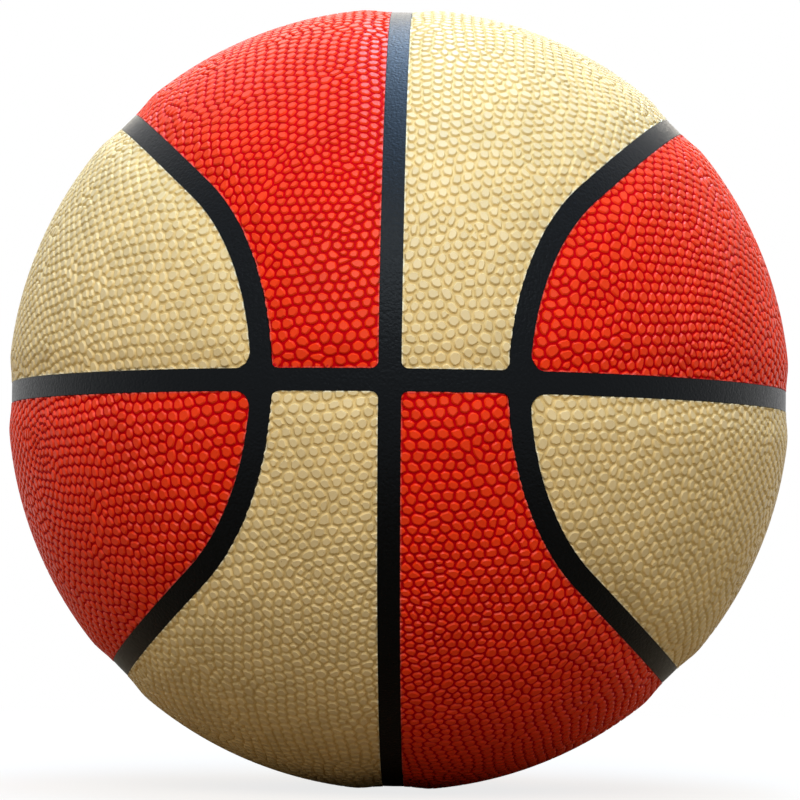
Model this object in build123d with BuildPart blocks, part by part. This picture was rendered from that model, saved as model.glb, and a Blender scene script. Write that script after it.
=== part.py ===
from build123d import *
import os
from math import asin, atan, cos, degrees, radians, sin, sqrt

# Laminated basketball in millimetres, +Z up, with the origin at the centre of the ball.
# From the inside out: bladder, thread winding, rubber carcass, then seam ribs between
# foam-backed cover panels, with a push-in valve through all the layers at the back.
# The point where the two great-circle seams cross faces -Y.

# Ball and its layers
ball_diameter = 243.0
cover_thickness = 1.3
foam_thickness = 1.4
carcass_thickness = 0.8
winding_thickness = 0.8
bladder_thickness = 0.7
bond_line = 0.1

# Seams: a channel between panel edges, filled by a rib, in a shallow valley
channel_width = 6.5
seam_gap = 0.1
rib_recess = 0.1
valley_depth = 1.1
valley_half_width = 12.4
band_waist = 37.6
loop_tilt = 45.0
band_corner_radius = 2.1
cap_corner_radius = 4.5
cut_overrun = 5.0

# Valve, in the upper left band panel at the back
valve_rise = 25.0
seat_diameter = 10.0
seat_flange_diameter = 28.0
seat_flange_thickness = 1.0
seat_stem_length = 8.0
seat_recess = 0.3
core_diameter = 5.0
core_head_diameter = 7.0
core_head_thickness = 1.5
core_clearance = 0.05
core_tip_length = 1.0
core_tip_radius = 0.8
needle_bore_diameter = 2.4
needle_bore_depth = 9.0
needle_funnel = 0.4
slit_length = 1.8
slit_width = 0.15

# Radii of the layers, from the crown of a cover panel inwards
crown_radius = ball_diameter / 2
cover_inner_radius = crown_radius - cover_thickness
foam_outer_radius = cover_inner_radius - bond_line
foam_inner_radius = foam_outer_radius - foam_thickness
carcass_radius = foam_inner_radius - bond_line
carcass_inner_radius = carcass_radius - carcass_thickness
winding_radius = carcass_inner_radius - bond_line
winding_inner_radius = winding_radius - winding_thickness
bladder_radius = winding_inner_radius - bond_line
bladder_inner_radius = bladder_radius - bladder_thickness
rib_radius = crown_radius - valley_depth - rib_recess
rib_inner_radius = carcass_radius + bond_line
rib_width = channel_width - 2 * seam_gap
outer_reach = crown_radius + cut_overrun

# The loop seam on the right: two arcs of great circles tilted up and down from the X axis,
# joined at the front and at the back by arcs of small circles that meet them smoothly.
waist_angle = degrees(band_waist / crown_radius)
front_angle = radians(90 - waist_angle)
tilt = radians(loop_tilt)
turn_offset = atan((sin(front_angle) - sin(tilt)) / cos(front_angle))
turn_radius = asin(cos(turn_offset) * sin(tilt))
turn_half_sweep = degrees(atan(sin(tilt) / (cos(tilt) * sin(turn_offset))))
tilted_half_sweep = degrees(atan(sin(turn_offset) / (cos(turn_offset) * cos(tilt))))
front_turn_axis = Vector(cos(turn_offset), -sin(turn_offset), 0)
back_turn_axis = Vector(cos(turn_offset), sin(turn_offset), 0)
upper_tilt_axis = Vector(-sin(tilt), 0, cos(tilt))
lower_tilt_axis = Vector(-sin(tilt), 0, -cos(tilt))
front_meeting = front_turn_axis + upper_tilt_axis * sin(turn_radius)
back_meeting = back_turn_axis + lower_tilt_axis * sin(turn_radius)


def seam_arc(axis_direction, start_direction, sweep):
    """Section plane (X across the seam, Y outwards), axis and sweep of one arc of a seam."""
    outwards = start_direction.normalized()
    across = (axis_direction - outwards * axis_direction.dot(outwards)).normalized()
    section = Plane(origin=(0, 0, 0), x_dir=across, z_dir=across.cross(outwards))
    return section, Axis((0, 0, 0), axis_direction), sweep


back = Vector(0, 1, 0)
meridian_seam = seam_arc(Vector(1, 0, 0), back, 360)
equator_seam = seam_arc(Vector(0, 0, 1), back, 360)
loop_seam = [
    seam_arc(front_turn_axis, front_meeting, 2 * turn_half_sweep),
    seam_arc(upper_tilt_axis, front_meeting, 2 * tilted_half_sweep),
    seam_arc(back_turn_axis, back_meeting, 2 * turn_half_sweep),
    seam_arc(lower_tilt_axis, back_meeting, 2 * tilted_half_sweep),
]


# Turns that keep a sphere's poles and seam line off the octant, the right side and the meridian
octant_sphere_turn = (0, 135, 0)
right_sphere_turn = (0, 0, 180)
meridian_sphere_turn = (0, 90, 0)


def crowned_octant(radius):
    """Front upper right octant of a ball of this radius, with a valley cut along each of its seams."""
    edge_height = radius - valley_depth
    shoulder_height = sqrt(radius**2 - valley_half_width**2)
    slope = (shoulder_height - edge_height) / (valley_half_width - channel_width / 2)
    floor = channel_width / 4
    floor_height = edge_height - slope * (channel_width / 2 - floor)
    reach = valley_half_width + cut_overrun
    reach_height = shoulder_height + slope * cut_overrun
    top = radius + cut_overrun
    with BuildPart() as crowned:
        Box(outer_reach, outer_reach, outer_reach, align=(Align.MIN, Align.MAX, Align.MIN))
        Sphere(radius, rotation=octant_sphere_turn, mode=Mode.INTERSECT)
        for section, axis, sweep in [meridian_seam, equator_seam] + loop_seam[:2]:
            with BuildSketch(section):
                with BuildLine():
                    Polyline(
                        (-floor, floor_height),
                        (floor, floor_height),
                        (reach, reach_height),
                        (reach, top),
                        (-reach, top),
                        (-reach, reach_height),
                        close=True,
                    )
                make_face()
            revolve(axis=axis, revolution_arc=sweep, mode=Mode.SUBTRACT)
    return crowned.part


def loop_strip(width):
    """Strip of this width along the right loop seam, from well inside the foam to well past the crown."""
    inner_reach = foam_inner_radius - 2 * cut_overrun
    with BuildPart() as strip:
        for section, axis, sweep in loop_seam:
            with BuildSketch(section):
                with Locations((0, (inner_reach + outer_reach) / 2)):
                    Rectangle(width, outer_reach - inner_reach)
            revolve(axis=axis, revolution_arc=sweep)
    return strip.part


def corner_edges(net, height):
    """Upright edges of a seam net beside the equator, in groups by their distance from the meridian."""
    short_edges = net.edges().filter_by(lambda edge: edge.length < 2 * height)
    return short_edges.filter_by(lambda edge: abs(edge.center().Z) < channel_width).group_by(Axis.X)


def seam_net(width, inner_radius, outer_radius):
    """Strips of this width along the seams on the right, with rounded corners where they meet."""
    loop = loop_strip(width)
    widening = (channel_width - width) / 2
    with BuildPart() as net:
        Box(width, 2 * outer_reach, 2 * outer_reach)
        Box(outer_reach, 2 * outer_reach, width, align=(Align.MIN, Align.CENTER, Align.CENTER))
        add(loop)
        Sphere(outer_radius, rotation=right_sphere_turn, mode=Mode.INTERSECT)
        Sphere(inner_radius, rotation=right_sphere_turn, mode=Mode.SUBTRACT)
        cap_edges = corner_edges(net, outer_radius - inner_radius)[2]
        fillet(cap_edges, radius=cap_corner_radius + widening)
        cross_edges, band_edges = corner_edges(net, outer_radius - inner_radius)[:2]
        fillet(cross_edges + band_edges, radius=band_corner_radius + widening)
    return net.part


def write_piece(piece, name):
    """Label a finished piece and write it as its own STEP file."""
    piece.label = name
    export_step(piece, f"parts/{name}.step")


os.makedirs("parts", exist_ok=True)

# Valve place: midway between the meridian and the left loop at the back, above the equator
valve_turn = radians(waist_angle / 2)
valve_lift = valve_rise / crown_radius
valve_direction = Vector(-sin(valve_turn) * cos(valve_lift), cos(valve_turn) * cos(valve_lift), sin(valve_lift))
valve_level = Vector(0, 0, 1).cross(valve_direction)
seat_top_radius = crown_radius - seat_recess
flange_radius = bladder_inner_radius - bond_line
flange_inner_radius = flange_radius - seat_flange_thickness
seat_bottom_radius = flange_inner_radius - seat_stem_length
core_bottom_radius = seat_bottom_radius - core_tip_length


def valve_plane(radius):
    """Plane square to the valve axis, at this distance from the centre of the ball."""
    return Plane(origin=valve_direction * radius, x_dir=valve_level, z_dir=valve_direction)


with BuildPart() as valve_hole:
    with BuildSketch(valve_plane(seat_bottom_radius)):
        Circle(seat_diameter / 2 + bond_line)
    extrude(amount=outer_reach - seat_bottom_radius)

# Half turns that carry a piece of the upper right quarter into each quarter
quarter_turns = {
    "upper_right": (0, 0, 0),
    "upper_left": (0, 0, 180),
    "lower_right": (180, 0, 0),
    "lower_left": (0, 180, 0),
}

# Cover panels and foam backings: a crowned layer, cut into a band and a cap by the seam channels
channel_net = seam_net(channel_width, foam_inner_radius - cut_overrun, crown_radius + cut_overrun / 2)
cover_blank = crowned_octant(crown_radius)
cover_core = crowned_octant(cover_inner_radius)
foam_blank = crowned_octant(foam_outer_radius)
with BuildPart() as covers:
    add(cover_blank)
    add(cover_core, mode=Mode.SUBTRACT)
    add(channel_net, mode=Mode.SUBTRACT)
with BuildPart() as backings:
    add(foam_blank)
    Sphere(foam_inner_radius, rotation=octant_sphere_turn, mode=Mode.SUBTRACT)
    add(channel_net, mode=Mode.SUBTRACT)
for layer, front_halves in (("panel", covers.solids()), ("backing", backings.solids())):
    for zone, front_half in zip(("band", "cap"), front_halves.sort_by(Axis.X)):
        with BuildPart() as whole:
            add(front_half)
            mirror(front_half, about=Plane.XZ)
        for quarter, turn in quarter_turns.items():
            with BuildPart() as placed:
                add(whole.part, rotation=turn)
                if (zone, quarter) == ("band", "upper_left"):
                    add(valve_hole.part, mode=Mode.SUBTRACT)
            write_piece(placed.part, f"{layer}_{quarter}_{zone}")

# Meridian rib, a whole ring on the carcass
with BuildPart() as rib_meridian:
    Box(rib_width, 2 * outer_reach, 2 * outer_reach)
    Sphere(rib_radius, rotation=meridian_sphere_turn, mode=Mode.INTERSECT)
    Sphere(rib_inner_radius, rotation=meridian_sphere_turn, mode=Mode.SUBTRACT)
write_piece(rib_meridian.part, "rib_meridian")

# The other ribs come from one net, cut free of the meridian and apart beside the equator,
# so that each half loop keeps the flares at its ends
rib_net = seam_net(rib_width, rib_inner_radius, rib_radius)
with BuildPart() as meridian_side:
    with Locations((rib_width / 2, 0, 0)):
        Box(outer_reach, 2 * outer_reach, 2 * outer_reach, align=(Align.MAX, Align.CENTER, Align.CENTER))
with BuildPart() as upper_zone:
    with Locations((band_waist / 2, 0, rib_width / 2)):
        Box(outer_reach, 2 * outer_reach, outer_reach, align=(Align.MIN, Align.CENTER, Align.MIN))
with BuildPart() as rib_equator:
    add(rib_net)
    add(meridian_side.part, mode=Mode.SUBTRACT)
    add(upper_zone.part, mode=Mode.SUBTRACT)
    add(upper_zone.part, rotation=(180, 0, 0), mode=Mode.SUBTRACT)
with BuildPart() as rib_loop:
    add(rib_net)
    add(upper_zone.part, mode=Mode.INTERSECT)
for quarter, turn in quarter_turns.items():
    with BuildPart() as placed:
        add(rib_loop.part, rotation=turn)
    write_piece(placed.part, f"rib_loop_{quarter}")
for side, turn in (("right", (0, 0, 0)), ("left", (0, 0, 180))):
    with BuildPart() as placed:
        add(rib_equator.part, rotation=turn)
    write_piece(placed.part, f"rib_equator_{side}")


def layer_shell(outer_radius, inner_radius):
    """Closed round layer of the ball with the valve hole through it."""
    with BuildPart() as shell:
        Sphere(outer_radius)
        Sphere(inner_radius, mode=Mode.SUBTRACT)
        add(valve_hole.part, mode=Mode.SUBTRACT)
    return shell.part


write_piece(layer_shell(carcass_radius, carcass_inner_radius), "carcass")
write_piece(layer_shell(winding_radius, winding_inner_radius), "thread_winding")
write_piece(layer_shell(bladder_radius, bladder_inner_radius), "bladder")

# Valve seat: a dished flange bonded under the bladder, with a sleeve out to the cover
with BuildPart() as valve_seat:
    with BuildSketch(valve_plane(seat_bottom_radius)):
        Circle(seat_flange_diameter / 2)
    extrude(amount=outer_reach - seat_bottom_radius)
    Sphere(flange_radius, mode=Mode.INTERSECT)
    Sphere(flange_inner_radius, mode=Mode.SUBTRACT)
    with BuildSketch(valve_plane(seat_bottom_radius)):
        Circle(seat_diameter / 2)
    extrude(amount=seat_top_radius - seat_bottom_radius)
    with Locations(valve_plane(seat_top_radius)):
        CounterBoreHole(
            radius=core_diameter / 2 + core_clearance,
            counter_bore_radius=core_head_diameter / 2 + core_clearance,
            counter_bore_depth=core_head_thickness + core_clearance,
        )
write_piece(valve_seat.part, "valve_seat")

# Valve core: a headed plug with a blind needle bore, slit from there to its inner end
with BuildPart() as valve_core:
    with BuildSketch(valve_plane(core_bottom_radius)):
        Circle(core_diameter / 2)
    extrude(amount=seat_top_radius - core_bottom_radius)
    tip_edge = valve_core.faces().sort_by(Axis((0, 0, 0), valve_direction))[0].edges()
    fillet(tip_edge, radius=core_tip_radius)
    with BuildSketch(valve_plane(seat_top_radius - core_head_thickness)):
        Circle(core_head_diameter / 2)
    extrude(amount=core_head_thickness)
    with Locations(valve_plane(seat_top_radius)):
        CounterSinkHole(
            radius=needle_bore_diameter / 2,
            counter_sink_radius=needle_bore_diameter / 2 + needle_funnel,
            depth=needle_bore_depth,
        )
    with BuildSketch(valve_plane(seat_top_radius - needle_bore_depth)):
        Rectangle(slit_length, slit_width)
    extrude(amount=core_bottom_radius - seat_top_radius, mode=Mode.SUBTRACT)
write_piece(valve_core.part, "valve_core")
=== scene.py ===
import math
import random
import time

import bmesh
import bpy
from mathutils import Matrix, Vector


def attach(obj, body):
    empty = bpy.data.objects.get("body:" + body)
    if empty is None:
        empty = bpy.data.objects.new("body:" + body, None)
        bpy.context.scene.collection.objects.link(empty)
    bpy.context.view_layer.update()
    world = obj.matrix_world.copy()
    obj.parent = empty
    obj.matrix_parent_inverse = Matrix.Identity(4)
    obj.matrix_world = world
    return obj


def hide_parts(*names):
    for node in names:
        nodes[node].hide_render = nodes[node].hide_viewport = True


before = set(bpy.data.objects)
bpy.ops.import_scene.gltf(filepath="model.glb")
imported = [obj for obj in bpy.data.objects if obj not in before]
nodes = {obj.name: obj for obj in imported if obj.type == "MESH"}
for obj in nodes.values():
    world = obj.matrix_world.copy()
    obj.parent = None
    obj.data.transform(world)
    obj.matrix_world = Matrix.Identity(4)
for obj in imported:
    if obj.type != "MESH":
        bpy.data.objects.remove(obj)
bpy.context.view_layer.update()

# Basketball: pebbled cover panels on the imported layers, with black ribs in the seams
# Lengths are in metres, and the ball's centre is the origin
started = time.time()


def report(done):
    print(f"[ball] {done}, {time.time() - started:.1f} s")


def meshFrom(net, name):
    mesh = bpy.data.meshes.new(name)
    net.to_mesh(mesh)
    net.free()
    return mesh


def addObject(name, data):
    added = bpy.data.objects.new(name, data)
    bpy.context.scene.collection.objects.link(added)
    return added


# Seams: two great circles and, on each side, a loop of two straight arcs and two round turns
seams = {
    "crown": 0.1215,  # radius at the top of a panel
    "waist": 0.0376,  # meridian to loop, along the equator
    "tilt": math.radians(45),  # of the loop's straight arcs
    "channelHalf": 0.00325,  # seam middle to panel edge
    "valleyHalf": 0.0124,  # seam middle to where the panel is round again
    "valleyDepth": 0.0011,
}
frontAngle = math.pi / 2 - seams["waist"] / seams["crown"]
turnOffset = math.atan((math.sin(frontAngle) - math.sin(seams["tilt"])) / math.cos(frontAngle))
turnRadius = math.asin(math.cos(turnOffset) * math.sin(seams["tilt"]))
turnAxis = Vector((math.cos(turnOffset), math.sin(turnOffset), 0))
tiltAxis = Vector((-math.sin(seams["tilt"]), 0, math.cos(seams["tilt"])))
turnSide = turnAxis.cross(tiltAxis)
if turnSide.y < 0:
    turnSide.negate()


# Distance over the ball from a direction to the nearest seam
def seamDistance(direction):
    folded = Vector((abs(direction.x), abs(direction.y), abs(direction.z)))
    if folded.dot(turnSide) > 0:
        loop = abs(math.acos(min(1, folded.dot(turnAxis))) - turnRadius)
    else:
        loop = abs(math.asin(max(-1, min(1, folded.dot(tiltAxis)))))
    return seams["crown"] * min(math.asin(min(1, folded.x)), math.asin(min(1, folded.z)), loop)


# Radius of the cover in a direction: round, with a soft valley along each seam
def coverRadius(direction):
    reach = (seamDistance(direction) - seams["channelHalf"]) / (seams["valleyHalf"] - seams["channelHalf"])
    reach = max(0, min(1, reach))
    return seams["crown"] - seams["valleyDepth"] * (1 - reach * reach * (3 - 2 * reach))


# Pebbles: an uneven net of cells over the whole ball, each raised to a flat-topped pebble
pebbles = {
    "subdivisions": 3,  # of the starting ball
    "cuts": 5,  # of each of its edges
    "turn": 0.7,  # of the net, so that its rows don't line up with the seams
    "turnAbout": (1, 2, 3),
    "turned": 0.045,  # share of net edges turned, so that cells have five to seven sides
    "netJitter": 0.0045,  # of the net's points, on a ball of radius 1
    "netEvened": 18,  # times
    "cellCorner": 33.3,  # percent cut at each point, which leaves a cell there and in each triangle
    "cellsEvened": 5,
    "cellJitter": 0.0015,  # of the cells' corners
    "corner": 20,  # percent of a cell's side cut off at a corner
    "cornersCut": 0.8,  # share of corners cut
    "rounded": 0.09,  # share of the way to the middle of the two corners beside
    "steepest": 0.3,  # lean of a pebble's side, 1 lying flat, below which its cell is rounded again
    "mends": 20,  # at most so often
    "groove": 0.00026,  # half of the groove's flat floor
    "grooveRise": 0,
    "flank": 0.00012,
    "flankRise": 0.00026,
    "shoulder": 0.00034,  # slope up to the flat top
    "shoulderRise": 0.00038,
    "heights": {"groove": 0.0, "flank": 0.5, "shoulder": 1.0},  # kept on the mesh for its material
    "narrow": 0.00087,  # cells with less than this from middle to side get a smaller pebble
    "narrowShare": 0.6,
    "narrowest": 0.00053,  # and with less than this, none
    "seed": 11,
}


def roundOut(net):
    for vert in net.verts:
        vert.co.normalize()


# Moves each point to the middle of the faces round it, large faces counting more, until faces are alike
def evenOut(net, times):
    for _ in range(times):
        shares = {face: (face.calc_area(), face.calc_center_median()) for face in net.faces}
        places = []
        for vert in net.verts:
            around = [shares[face] for face in vert.link_faces]
            total = sum(area for area, middle in around)
            places.append(sum((middle * area for area, middle in around), Vector()) / total)
        for vert, place in zip(net.verts, places):
            vert.co = place
        roundOut(net)


def shake(net, rng, amount):
    for vert in net.verts:
        vert.co += Vector((rng.gauss(0, 1), rng.gauss(0, 1), rng.gauss(0, 1))) * amount
    roundOut(net)


def halfWidth(cell):
    middle = cell.calc_center_median()
    corners = [vert.co for vert in cell.verts]
    sides = zip(corners, corners[1:] + corners[:1])
    return min((end - start).cross(middle - start).length / (end - start).length for start, end in sides)


# Draws each corner of a cell in towards the two beside it
def roundCell(cell):
    corners = [vert.co.copy() for vert in cell.verts]
    befores = corners[-1:] + corners[:-1]
    afters = corners[1:] + corners[:1]
    for vert, before, place, after in zip(cell.verts, befores, corners, afters):
        vert.co += ((before + after) / 2 - place) * pebbles["rounded"]


# Whether a face beside a cell is too steep or turned in, where the ends of a short side come too close
def isPinched(cell):
    for face in {face for edge in cell.edges for face in edge.link_faces}:
        face.normal_update()
        if face.normal.dot(face.calc_center_median().normalized()) < pebbles["steepest"]:
            return True
    return False


def cutCorners(net, corners, percent):
    bmesh.ops.bevel(
        net, geom=corners, offset=percent, offset_type="PERCENT", affect="VERTICES",
        segments=1, profile=0.5, material=-1,
    )


# Net of cells on a ball of radius 1
def makeNet(rng):
    net = bmesh.new()
    bmesh.ops.create_icosphere(net, subdivisions=pebbles["subdivisions"], radius=1)
    bmesh.ops.subdivide_edges(net, edges=net.edges[:], cuts=pebbles["cuts"], use_grid_fill=True)
    roundOut(net)
    turn = Matrix.Rotation(pebbles["turn"], 3, Vector(pebbles["turnAbout"]).normalized())
    bmesh.ops.rotate(net, cent=(0, 0, 0), matrix=turn, verts=net.verts[:])
    used = {vert for vert in net.verts if len(vert.link_edges) != 6}
    turned = []
    for edge in net.edges:
        around = {vert for face in edge.link_faces for vert in face.verts}
        if rng.random() < pebbles["turned"] and not used.intersection(around):
            used.update(around)
            turned.append(edge)
    bmesh.ops.rotate_edges(net, edges=turned, use_ccw=False)
    shake(net, rng, pebbles["netJitter"])
    evenOut(net, pebbles["netEvened"])
    cutCorners(net, net.verts[:], pebbles["cellCorner"])
    evenOut(net, pebbles["cellsEvened"])
    shake(net, rng, pebbles["cellJitter"])
    report(f"net of {len(net.faces)} pebbles")
    return net


# Gives the net the cover's shape, and each cell a pebble with its own tint
def raisePebbles(net, rng):
    pebbleHeight = pebbles["flankRise"] + pebbles["shoulderRise"]
    for vert in net.verts:
        vert.co *= coverRadius(vert.co) - pebbleHeight
    cutCorners(net, [vert for vert in net.verts if rng.random() < pebbles["cornersCut"]], pebbles["corner"])
    topLayer = net.verts.layers.float.new("pebbleTop")
    tintLayer = net.verts.layers.float.new("pebbleTint")
    widths = {face: halfWidth(face) for face in net.faces if len(face.verts) > 3}
    wide = [face for face, width in widths.items() if width > pebbles["narrow"]]
    narrow = [face for face, width in widths.items() if pebbles["narrowest"] < width <= pebbles["narrow"]]
    report(f"{len(wide)} wide cells, {len(narrow)} narrow, {len(widths) - len(wide) - len(narrow)} flat")
    tints = {cell: rng.random() for cell in wide + narrow}
    for ring, height in pebbles["heights"].items():
        for cells, share in ((wide, 1), (narrow, pebbles["narrowShare"])):
            bmesh.ops.inset_individual(
                net, faces=cells, thickness=pebbles[ring] * share, depth=pebbles[ring + "Rise"] * share,
                use_even_offset=False,
            )
        for cell, tint in tints.items():
            roundCell(cell)
            for vert in cell.verts:
                vert[topLayer] = height
                vert[tintLayer] = tint
    pinched = [cell for cell in tints if isPinched(cell)]
    for cell in pinched:
        for _ in range(pebbles["mends"]):
            if isPinched(cell):
                roundCell(cell)
    report(f"{len(pinched)} pinched cells, {sum(isPinched(cell) for cell in pinched)} not mended")


def makePebbledBall():
    rng = random.Random(pebbles["seed"])
    net = makeNet(rng)
    raisePebbles(net, rng)
    ball = addObject("pebbledBall", meshFrom(net, "pebbledBall"))
    report(f"pebbled ball of {len(ball.data.polygons)} faces")
    return ball


pebbledBall = makePebbledBall()

# Panels: the pebbled ball within each CAD panel, whose outer face is pushed out past the pebbles
panels = {
    "merged": 1e-6,  # points of the CAD mesh closer than this
    "outward": 0.7,  # how far a face looks outward, 1 wholly, to be pushed out
    "cutterRise": 0.004,
    "sharpAngle": math.radians(29),
    "names": [
        f"panel_{level}_{side}_{zone}"
        for level in ("upper", "lower") for side in ("left", "right") for zone in ("band", "cap")
    ],
    "red": ("upper_left_band", "lower_right_band", "lower_left_cap", "upper_right_cap"),
}


def makeCutter(name):
    cutter = bmesh.new()
    cutter.from_mesh(nodes[name].data)
    bmesh.ops.remove_doubles(cutter, verts=cutter.verts[:], dist=panels["merged"])
    outer = set()
    for face in cutter.faces:
        if face.normal.dot(face.calc_center_median().normalized()) > panels["outward"]:
            outer.update(face.verts)
    for vert in outer:
        vert.co += vert.co.normalized() * panels["cutterRise"]
    return meshFrom(cutter, name + "_cover")


# Takes out what the cut leaves along the edges: points on a straight side, and loose slivers
def trim(mesh):
    trimmed = bmesh.new()
    trimmed.from_mesh(mesh)
    spare = [vert for vert in trimmed.verts if len(vert.link_edges) == 2]
    bmesh.ops.dissolve_verts(trimmed, verts=spare)
    loose = [face for face in trimmed.faces if all(edge.is_boundary for edge in face.edges)]
    bmesh.ops.delete(trimmed, geom=loose, context="FACES")
    trimmed.to_mesh(mesh)
    trimmed.free()


def makePanel(name, ball):
    piece = addObject(name + "_cover", makeCutter(name))
    cut = piece.modifiers.new("pebbles", "BOOLEAN")
    cut.operation = "INTERSECT"
    cut.solver = "MANIFOLD"
    cut.object = ball
    shown = piece.evaluated_get(bpy.context.evaluated_depsgraph_get())
    piece.modifiers.clear()
    piece.data = bpy.data.meshes.new_from_object(shown)
    piece.data.name = name + "_cover"
    piece.data.materials.clear()
    carried = piece.data.attributes.get("custom_normal")
    if carried:
        piece.data.attributes.remove(carried)
    trim(piece.data)
    piece.data.shade_smooth()
    piece.data.set_sharp_from_angle(angle=panels["sharpAngle"])
    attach(piece, "ball")
    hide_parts(name)
    return piece


covers = {name: makePanel(name, pebbledBall) for name in panels["names"]}
bpy.data.objects.remove(pebbledBall)
report("panels cut")

# Finishes: colours as 0 to 255 screen values
finishes = {
    "redTop": (253, 61, 9),
    # crimson of the red panel's grooves, made darker than the dye as painted shade in the grooves
    "redGrooveAndShade": (210, 2, 20),
    "redEdge": (248, 92, 80),
    "creamTop": (243, 220, 168),
    "creamGroove": (241, 216, 155),
    "creamEdge": (255, 246, 214),
    "ribBlack": (4, 4, 5),
    "carcassBlack": (22, 21, 20),
    "valveBlack": (26, 25, 25),
    "foamPale": (222, 214, 196),
    "foamHollowShade": (190, 180, 158),
    # colour of the bubble hollows: painted shade
    "threadPale": (228, 222, 205),
    "threadGapShade": (176, 166, 142),
    # colour of the gaps between threads: painted shade
    "bladderBlack": (30, 28, 29),
}
noiseSpan = (0.3, 0.7)  # holds most of a noise's values


# A finish in linear light, by the sRGB curve
def screen(name):
    shares = [value / 255 for value in finishes[name]]
    linear = [share / 12.92 if share < 0.0404 else ((share + 0.055) / 1.055) ** 2.4 for share in shares]
    return (*linear, 1)


def addNode(tree, kind, **settings):
    node = tree.nodes.new(kind)
    for key, value in settings.items():
        setattr(node, key, value)
    return node


def feed(tree, value, socket):
    if isinstance(value, bpy.types.NodeSocket):
        tree.links.new(value, socket)
    else:
        socket.default_value = value


def newGroup(name, inputs, outputs):
    group = bpy.data.node_groups.new(name, "ShaderNodeTree")
    for label, kind in inputs:
        group.interface.new_socket(label, in_out="INPUT", socket_type=kind)
    for label, kind in outputs:
        group.interface.new_socket(label, in_out="OUTPUT", socket_type=kind)
    return group, group.nodes.new("NodeGroupInput"), group.nodes.new("NodeGroupOutput")


def mixColour(tree, mode, factor, first, second):
    mix = addNode(tree, "ShaderNodeMix", data_type="RGBA", blend_type=mode)
    for value, socket in ((factor, mix.inputs[0]), (first, mix.inputs[6]), (second, mix.inputs[7])):
        feed(tree, value, socket)
    return mix.outputs[2]


def mixShaders(tree, factor, first, second):
    mix = addNode(tree, "ShaderNodeMixShader")
    for value, socket in zip((factor, first, second), mix.inputs):
        tree.links.new(value, socket)
    return mix.outputs[0]


def remap(tree, value, low, high, toLow, toHigh, smooth=False):
    node = addNode(tree, "ShaderNodeMapRange", interpolation_type="SMOOTHSTEP" if smooth else "LINEAR")
    tree.links.new(value, node.inputs[0])
    for index, number in enumerate((low, high, toLow, toHigh), start=1):
        node.inputs[index].default_value = number
    return node.outputs[0]


def objectCoords(tree):
    return addNode(tree, "ShaderNodeTexCoord").outputs["Object"]


def noise(tree, coords, scale, detail=2.0, rough=0.5):
    node = addNode(tree, "ShaderNodeTexNoise")
    tree.links.new(coords, node.inputs["Vector"])
    feed(tree, scale, node.inputs["Scale"])
    node.inputs["Detail"].default_value = detail
    node.inputs["Roughness"].default_value = rough
    return node.outputs[0]


def calculate(tree, operation, *values):
    node = addNode(tree, "ShaderNodeMath", operation=operation)
    for value, socket in zip(values, node.inputs):
        feed(tree, value, socket)
    return node.outputs[0]


def along(tree, vector, axis):
    node = addNode(tree, "ShaderNodeVectorMath", operation="DOT_PRODUCT")
    tree.links.new(vector, node.inputs[0])
    node.inputs[1].default_value = axis
    return node.outputs["Value"]


# Cut edge of a panel: a ragged pale line, from the distance to the nearest seam
cutLine = {
    "width": 0.0006,
    "fadeFrom": 0.4,  # share of the width
    "raggedScale": 500,
    "ragged": (0.42, 0.55),  # noise from the faintest to the full line
    "faintest": 0.15,
}


def makeCutEdge():
    group, given, out = newGroup("cutEdge", [("Width", "NodeSocketFloat")], [("Mask", "NodeSocketFloat")])
    coords = objectCoords(group)
    direction = addNode(group, "ShaderNodeVectorMath", operation="NORMALIZE")
    group.links.new(coords, direction.inputs[0])
    folded = addNode(group, "ShaderNodeVectorMath", operation="ABSOLUTE")
    group.links.new(direction.outputs[0], folded.inputs[0])
    place = folded.outputs[0]
    rings = calculate(group, "MINIMUM", along(group, place, (1, 0, 0)), along(group, place, (0, 0, 1)))
    turnAngle = calculate(group, "ARCCOSINE", along(group, place, turnAxis))
    fromTurn = calculate(group, "SUBTRACT", turnAngle, turnRadius)
    atTurn = calculate(group, "GREATER_THAN", along(group, place, turnSide), 0.0)
    notTurn = calculate(group, "SUBTRACT", 1.0, atTurn)
    turnPart = calculate(group, "MULTIPLY", fromTurn, atTurn)
    loop = calculate(group, "MULTIPLY_ADD", along(group, place, tiltAxis), notTurn, turnPart)
    nearest = calculate(group, "MINIMUM", rings, calculate(group, "ABSOLUTE", loop))
    fromEdge = calculate(group, "MULTIPLY_ADD", nearest, seams["crown"], -seams["channelHalf"])
    inside = calculate(group, "DIVIDE", fromEdge, given.outputs["Width"])
    mask = remap(group, inside, cutLine["fadeFrom"], 1.0, 1, 0, smooth=True)
    breaks = noise(group, coords, cutLine["raggedScale"])
    ragged = remap(group, breaks, *cutLine["ragged"], cutLine["faintest"], 1)
    group.links.new(calculate(group, "MULTIPLY", mask, ragged), out.inputs["Mask"])
    return group


cutEdge = makeCutEdge()

# Pebble skin: heights on a pebble run from the groove's floor, 0, to the top, 1
skinLook = {
    "topBlend": 0.3,  # height over which the groove's colour turns into the top's
    "shade": (0.93, 1.05),  # from pebble to pebble
    "mottleScale": 60,
    "mottleDetail": 3,
    "mottle": (0.94, 1.04),
    "speckScale": 900,
    "speckDetail": 1,
    "speck": (0.76, 0.80),  # noise over which a speck shows
    "speckColour": (0.45, 0.32, 0.18, 1),
    "grainScale": 2600,
    "grainRough": 0.6,
    "roughness": (0.36, 0.48),
    "shineRise": (0.02, 0.3),  # heights over which the shine sets in
    "shine": 0.48,
    "wornFrom": 0.93,
    "worn": 0.9,  # share of the shine left on the tops
}


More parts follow.
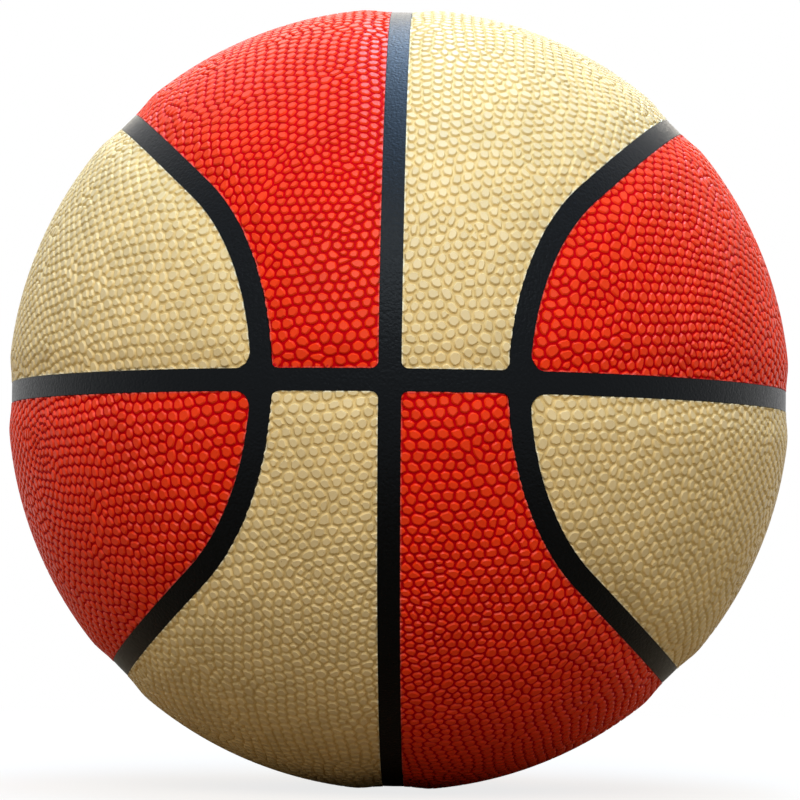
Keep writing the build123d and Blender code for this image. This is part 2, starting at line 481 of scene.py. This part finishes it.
def makePebbleSkin():
    group, given, out = newGroup(
        "pebbleSkin",
        [
            ("Top", "NodeSocketColor"), ("Groove", "NodeSocketColor"),
            ("From", "NodeSocketFloat"), ("Specks", "NodeSocketFloat"),
        ],
        [
            ("Color", "NodeSocketColor"), ("Roughness", "NodeSocketFloat"),
            ("Shine", "NodeSocketFloat"), ("Height", "NodeSocketFloat"),
        ],
    )
    coords = objectCoords(group)
    height = addNode(group, "ShaderNodeAttribute", attribute_name="pebbleTop").outputs["Fac"]
    tint = addNode(group, "ShaderNodeAttribute", attribute_name="pebbleTint").outputs["Fac"]
    above = calculate(group, "SUBTRACT", height, given.outputs["From"])
    top = remap(group, above, 0, skinLook["topBlend"], 0, 1, smooth=True)
    colour = mixColour(group, "MIX", top, given.outputs["Groove"], given.outputs["Top"])
    colour = mixColour(group, "MULTIPLY", 1.0, colour, remap(group, tint, 0, 1, *skinLook["shade"]))
    patches = noise(group, coords, skinLook["mottleScale"], skinLook["mottleDetail"])
    mottle = remap(group, patches, *noiseSpan, *skinLook["mottle"])
    colour = mixColour(group, "MULTIPLY", 1.0, colour, mottle)
    dots = noise(group, coords, skinLook["speckScale"], skinLook["speckDetail"])
    speck = remap(group, dots, *skinLook["speck"], 0, 1, smooth=True)
    speckMask = calculate(group, "MULTIPLY", speck, given.outputs["Specks"])
    colour = mixColour(group, "MULTIPLY", speckMask, colour, skinLook["speckColour"])
    group.links.new(colour, out.inputs["Color"])
    grain = noise(group, coords, skinLook["grainScale"], rough=skinLook["grainRough"])
    group.links.new(remap(group, grain, *noiseSpan, *skinLook["roughness"]), out.inputs["Roughness"])
    slope = remap(group, height, *skinLook["shineRise"], 0, skinLook["shine"], smooth=True)
    worn = remap(group, height, skinLook["wornFrom"], 1.0, 1, skinLook["worn"])
    group.links.new(calculate(group, "MULTIPLY", slope, worn), out.inputs["Shine"])
    group.links.new(grain, out.inputs["Height"])
    return group


pebbleSkin = makePebbleSkin()


def newMaterial(name):
    material = bpy.data.materials.new(name)
    material.use_nodes = True
    return material, material.node_tree, material.node_tree.nodes["Principled BSDF"]


def addBump(tree, shader, height, look):
    bump = addNode(tree, "ShaderNodeBump")
    bump.inputs["Strength"].default_value = look["bump"]
    bump.inputs["Distance"].default_value = look["bumpDepth"]
    tree.links.new(height, bump.inputs["Height"])
    tree.links.new(bump.outputs[0], shader.inputs["Normal"])


# Cover leather: topFrom is the height on a pebble where the top's colour starts
coverLook = {
    "bump": 0.25,
    "bumpDepth": 0.00008,
    "specular": 0.02,
    "coatRoughness": 0.38,
}


def coverMaterial(name, top, groove, edgeColour, topFrom, specks):
    material, tree, shader = newMaterial(name)
    skin = addNode(tree, "ShaderNodeGroup", node_tree=pebbleSkin)
    skin.inputs["Top"].default_value = screen(top)
    skin.inputs["Groove"].default_value = screen(groove)
    skin.inputs["From"].default_value = topFrom
    skin.inputs["Specks"].default_value = specks
    edge = addNode(tree, "ShaderNodeGroup", node_tree=cutEdge)
    edge.inputs["Width"].default_value = cutLine["width"]
    colour = mixColour(tree, "MIX", edge.outputs["Mask"], skin.outputs["Color"], screen(edgeColour))
    tree.links.new(colour, shader.inputs["Base Color"])
    tree.links.new(skin.outputs["Roughness"], shader.inputs["Roughness"])
    tree.links.new(skin.outputs["Shine"], shader.inputs["Coat Weight"])
    addBump(tree, shader, skin.outputs["Height"], coverLook)
    shader.inputs["Specular IOR Level"].default_value = coverLook["specular"]
    shader.inputs["Coat Roughness"].default_value = coverLook["coatRoughness"]
    return material


# the red's groove colour holds the crimson dye plus painted shade in the grooves
coverRed = coverMaterial("coverRed", "redTop", "redGrooveAndShade", "redEdge", topFrom=0.2, specks=0.1)
coverCream = coverMaterial("coverCream", "creamTop", "creamGroove", "creamEdge", topFrom=0.7, specks=0.5)
for name, piece in covers.items():
    isRed = name.removeprefix("panel_") in panels["red"]
    piece.data.materials.append(coverRed if isRed else coverCream)

# Rubbers of the ribs, carcass, bladder and valve: one grain at different scales
rubberLook = {
    "grainDetail": 3,
    "lift": (0.7, 1.35),  # of the colour, by the grain
    "cloudScale": 90,
    "cloud": (0.85, 1.15),
    "roughness": (0.26, 0.42),
    "bump": 0.6,
    "bumpDepth": 0.0003,
}


def makeRubberGrain():
    group, given, out = newGroup(
        "rubberGrain",
        [("Color", "NodeSocketColor"), ("Scale", "NodeSocketFloat")],
        [("Color", "NodeSocketColor"), ("Roughness", "NodeSocketFloat"), ("Height", "NodeSocketFloat")],
    )
    coords = objectCoords(group)
    grain = noise(group, coords, given.outputs["Scale"], rubberLook["grainDetail"])
    lift = remap(group, grain, *noiseSpan, *rubberLook["lift"])
    colour = mixColour(group, "MULTIPLY", 1.0, given.outputs["Color"], lift)
    patches = noise(group, coords, rubberLook["cloudScale"])
    cloud = remap(group, patches, *noiseSpan, *rubberLook["cloud"])
    colour = mixColour(group, "MULTIPLY", 1.0, colour, cloud)
    group.links.new(colour, out.inputs["Color"])
    group.links.new(remap(group, grain, *noiseSpan, *rubberLook["roughness"]), out.inputs["Roughness"])
    group.links.new(grain, out.inputs["Height"])
    return group


rubberGrain = makeRubberGrain()


def rubberMaterial(name, colour, scale, specular, sheen=(1, 1, 1, 1)):
    material, tree, shader = newMaterial(name)
    grain = addNode(tree, "ShaderNodeGroup", node_tree=rubberGrain)
    grain.inputs["Color"].default_value = screen(colour)
    grain.inputs["Scale"].default_value = scale
    tree.links.new(grain.outputs["Color"], shader.inputs["Base Color"])
    tree.links.new(grain.outputs["Roughness"], shader.inputs["Roughness"])
    addBump(tree, shader, grain.outputs["Height"], rubberLook)
    shader.inputs["Specular IOR Level"].default_value = specular
    shader.inputs["Specular Tint"].default_value = sheen
    return material


# Gives a material to the nodes whose names start with a word
def dress(material, start):
    for name, node in nodes.items():
        if name.startswith(start):
            node.data.materials.clear()
            node.data.materials.append(material)


# the ribs' blue sheen tint colours their reflections: a painted bluish sheen
dress(rubberMaterial("ribRubber", "ribBlack", scale=1200, specular=0.12, sheen=(0.75, 0.88, 1, 1)), "rib_")
dress(rubberMaterial("carcassRubber", "carcassBlack", scale=700, specular=0.3), "carcass")
dress(rubberMaterial("bladderRubber", "bladderBlack", scale=350, specular=0.4), "bladder")
dress(rubberMaterial("valveRubber", "valveBlack", scale=1500, specular=0.35), "valve_")

# Foam backing: fine open bubbles
foamLook = {
    "bubbleScale": 1400,
    "wall": (0.1, 0.7),  # distances from a bubble's middle
    "bump": 0.5,
    "bumpDepth": 0.0002,
    "roughness": 0.85,
}
foam, foamTree, foamShader = newMaterial("backingFoam")
bubbles = addNode(foamTree, "ShaderNodeTexVoronoi")
bubbles.inputs["Scale"].default_value = foamLook["bubbleScale"]
foamTree.links.new(objectCoords(foamTree), bubbles.inputs["Vector"])
bubbleWall = remap(foamTree, bubbles.outputs["Distance"], *foamLook["wall"], 0, 1)
# the bubbles' hollows take the darker colour: painted shade in the hollows
foamColour = mixColour(foamTree, "MIX", bubbleWall, screen("foamHollowShade"), screen("foamPale"))
foamTree.links.new(foamColour, foamShader.inputs["Base Color"])
addBump(foamTree, foamShader, bubbleWall, foamLook)
foamShader.inputs["Roughness"].default_value = foamLook["roughness"]
dress(foam, "backing_")

# Thread winding: two lays of thread crossing each other
threadLook = {
    "lays": ((0.4, 0.9, 0.2), (-0.7, 0.3, 1.1)),  # how each is turned
    "scale": 500,
    "distortion": 0.6,
    "bump": 0.6,
    "bumpDepth": 0.0003,
    "roughness": 0.8,
}
thread, threadTree, threadShader = newMaterial("windingThread")
threadCoords = objectCoords(threadTree)
lays = []
for turn in threadLook["lays"]:
    mapping = addNode(threadTree, "ShaderNodeMapping")
    mapping.inputs["Rotation"].default_value = turn
    threadTree.links.new(threadCoords, mapping.inputs["Vector"])
    wave = addNode(threadTree, "ShaderNodeTexWave", wave_type="BANDS", bands_direction="X")
    wave.inputs["Scale"].default_value = threadLook["scale"]
    wave.inputs["Distortion"].default_value = threadLook["distortion"]
    threadTree.links.new(mapping.outputs[0], wave.inputs["Vector"])
    lays.append(wave.outputs["Fac"])
crossing = calculate(threadTree, "MAXIMUM", *lays)
# the gaps between the threads take the darker colour: painted shade between them
threadColour = mixColour(threadTree, "MIX", crossing, screen("threadGapShade"), screen("threadPale"))
threadTree.links.new(threadColour, threadShader.inputs["Base Color"])
addBump(threadTree, threadShader, crossing, threadLook)
threadShader.inputs["Roughness"].default_value = threadLook["roughness"]
dress(thread, "thread_")
report("materials")

# Floor, world and lights
stage = {
    "floor": -0.1209,
    "floorHalf": 6,
    "floorPale": (1.0, 0.92, 0.82, 1),  # to the camera
    "floorBounce": (0.27, 0.20, 0.125, 1),  # to the light that it sends back up
    "floorRoughness": 0.9,
    "shadowSoft": 0.8,  # how far the shadow is lightened for the camera
    "glowFrom": 0.2,  # distances from the ball over which the floor turns white
    "glowTo": 0.7,
    "ambient": 0.275,
    "ambientColour": (1.0, 0.93, 0.80, 1),
}
lights = {
    "top": {
        "power": 9.5,
        "size": (1.3, 1.5),
        "place": (0, 0.16, 1.1),
        "turn": 0,
        "colour": (0.42, 0.66, 1.0),
    },
    "strip": {
        "power": 10.5,
        "size": (0.2, 1.5),
        "place": (0.07, 0.16, 1.08),
        "turn": math.radians(23.6),
        "colour": (0.42, 0.66, 1.0),
    },
    "front": {
        "power": 21.2,
        "size": (1.5, 1.1),
        "place": (0, -1.4, 1.2),
        "turn": 0,
        "colour": (1.0, 0.99, 0.96),
    },
    "back": {
        "power": 9,
        "size": (1.2, 1.2),
        "place": (0, 1.5, 0.9),
        "turn": 0,
        "colour": (1.0, 0.9, 0.74),
    },
}
floorNet = bmesh.new()
bmesh.ops.create_grid(floorNet, x_segments=1, y_segments=1, size=stage["floorHalf"])
bmesh.ops.translate(floorNet, vec=(0, 0, stage["floor"]), verts=floorNet.verts[:])
floor = addObject("floor", meshFrom(floorNet, "floor"))


# Rays that show the background: from the camera, or by way of a reflection or glass
def pictureRay(tree):
    path = addNode(tree, "ShaderNodeLightPath")
    fromCamera = path.outputs["Is Camera Ray"]
    direct = calculate(tree, "MAXIMUM", fromCamera, path.outputs["Is Glossy Ray"])
    return fromCamera, calculate(tree, "MAXIMUM", direct, path.outputs["Is Transmission Ray"])


floorPaint, floorTree, floorShader = newMaterial("floorPaint")
fromCamera, inPicture = pictureRay(floorTree)
floorColour = mixColour(floorTree, "MIX", fromCamera, stage["floorBounce"], stage["floorPale"])
floorTree.links.new(floorColour, floorShader.inputs["Base Color"])
floorShader.inputs["Roughness"].default_value = stage["floorRoughness"]
floorShader.inputs["Specular IOR Level"].default_value = 0
glow = addNode(floorTree, "ShaderNodeEmission")
glow.inputs["Strength"].default_value = 1
away = addNode(floorTree, "ShaderNodeVectorMath", operation="LENGTH")
floorTree.links.new(objectCoords(floorTree), away.inputs[0])
fade = remap(floorTree, away.outputs["Value"], stage["glowFrom"], stage["glowTo"], 0, 1, smooth=True)
glowShare = calculate(floorTree, "MULTIPLY", fade, inPicture)
softened = calculate(floorTree, "MULTIPLY", fromCamera, stage["shadowSoft"])
glowing = calculate(floorTree, "MAXIMUM", glowShare, softened)
fromAbove = mixShaders(floorTree, glowing, floorShader.outputs[0], glow.outputs[0])
under = addNode(floorTree, "ShaderNodeNewGeometry").outputs["Backfacing"]
clear = addNode(floorTree, "ShaderNodeBsdfTransparent")
bothSides = mixShaders(floorTree, under, fromAbove, clear.outputs[0])  # from below, the ball shows through
floorTree.links.new(bothSides, floorTree.nodes["Material Output"].inputs["Surface"])
floor.data.materials.append(floorPaint)

world = bpy.data.worlds.new("studio")
world.use_nodes = True
bpy.context.scene.world = world
worldTree = world.node_tree
dim = worldTree.nodes["Background"]
dim.inputs["Color"].default_value = stage["ambientColour"]
dim.inputs["Strength"].default_value = stage["ambient"]
white = addNode(worldTree, "ShaderNodeBackground")
white.inputs["Strength"].default_value = 1
white.inputs["Color"].default_value = (1, 1, 1, 1)
sky = mixShaders(worldTree, pictureRay(worldTree)[1], dim.outputs[0], white.outputs[0])
worldTree.links.new(sky, worldTree.nodes["World Output"].inputs["Surface"])

for name, light in lights.items():
    lamp = bpy.data.lights.new(name, "AREA")
    lamp.shape = "RECTANGLE"
    lamp.energy = light["power"]
    lamp.size, lamp.size_y = light["size"]
    lamp.color = light["colour"]
    holder = addObject(name, lamp)
    holder.location = light["place"]
    facing = Vector(light["place"]).to_track_quat("Z", "Y").to_matrix()
    holder.rotation_euler = (facing @ Matrix.Rotation(light["turn"], 3, "Z")).to_euler()
bpy.context.scene.view_settings.view_transform = "Standard"
report("floor and lights")

# Camera at the photo's view
camera = {
    "distance": 1.215,
    "direction": Vector((0.02189, -0.99870, -0.04589)),
    "roll": 0.0120,
    "lens": 175.06,
    "sensor": 36,
    "shift": (0.00145, -0.00079),
}
lens = bpy.data.cameras.new("camera")
lens.lens = camera["lens"]
lens.sensor_width = camera["sensor"]
lens.shift_x, lens.shift_y = camera["shift"]
viewer = addObject("camera", lens)
place = Matrix.Translation(camera["direction"] * camera["distance"])
aim = camera["direction"].to_track_quat("Z", "Y").to_matrix().to_4x4()
viewer.matrix_world = place @ aim @ Matrix.Rotation(camera["roll"], 4, "Z")
bpy.context.scene.camera = viewer
report("camera")
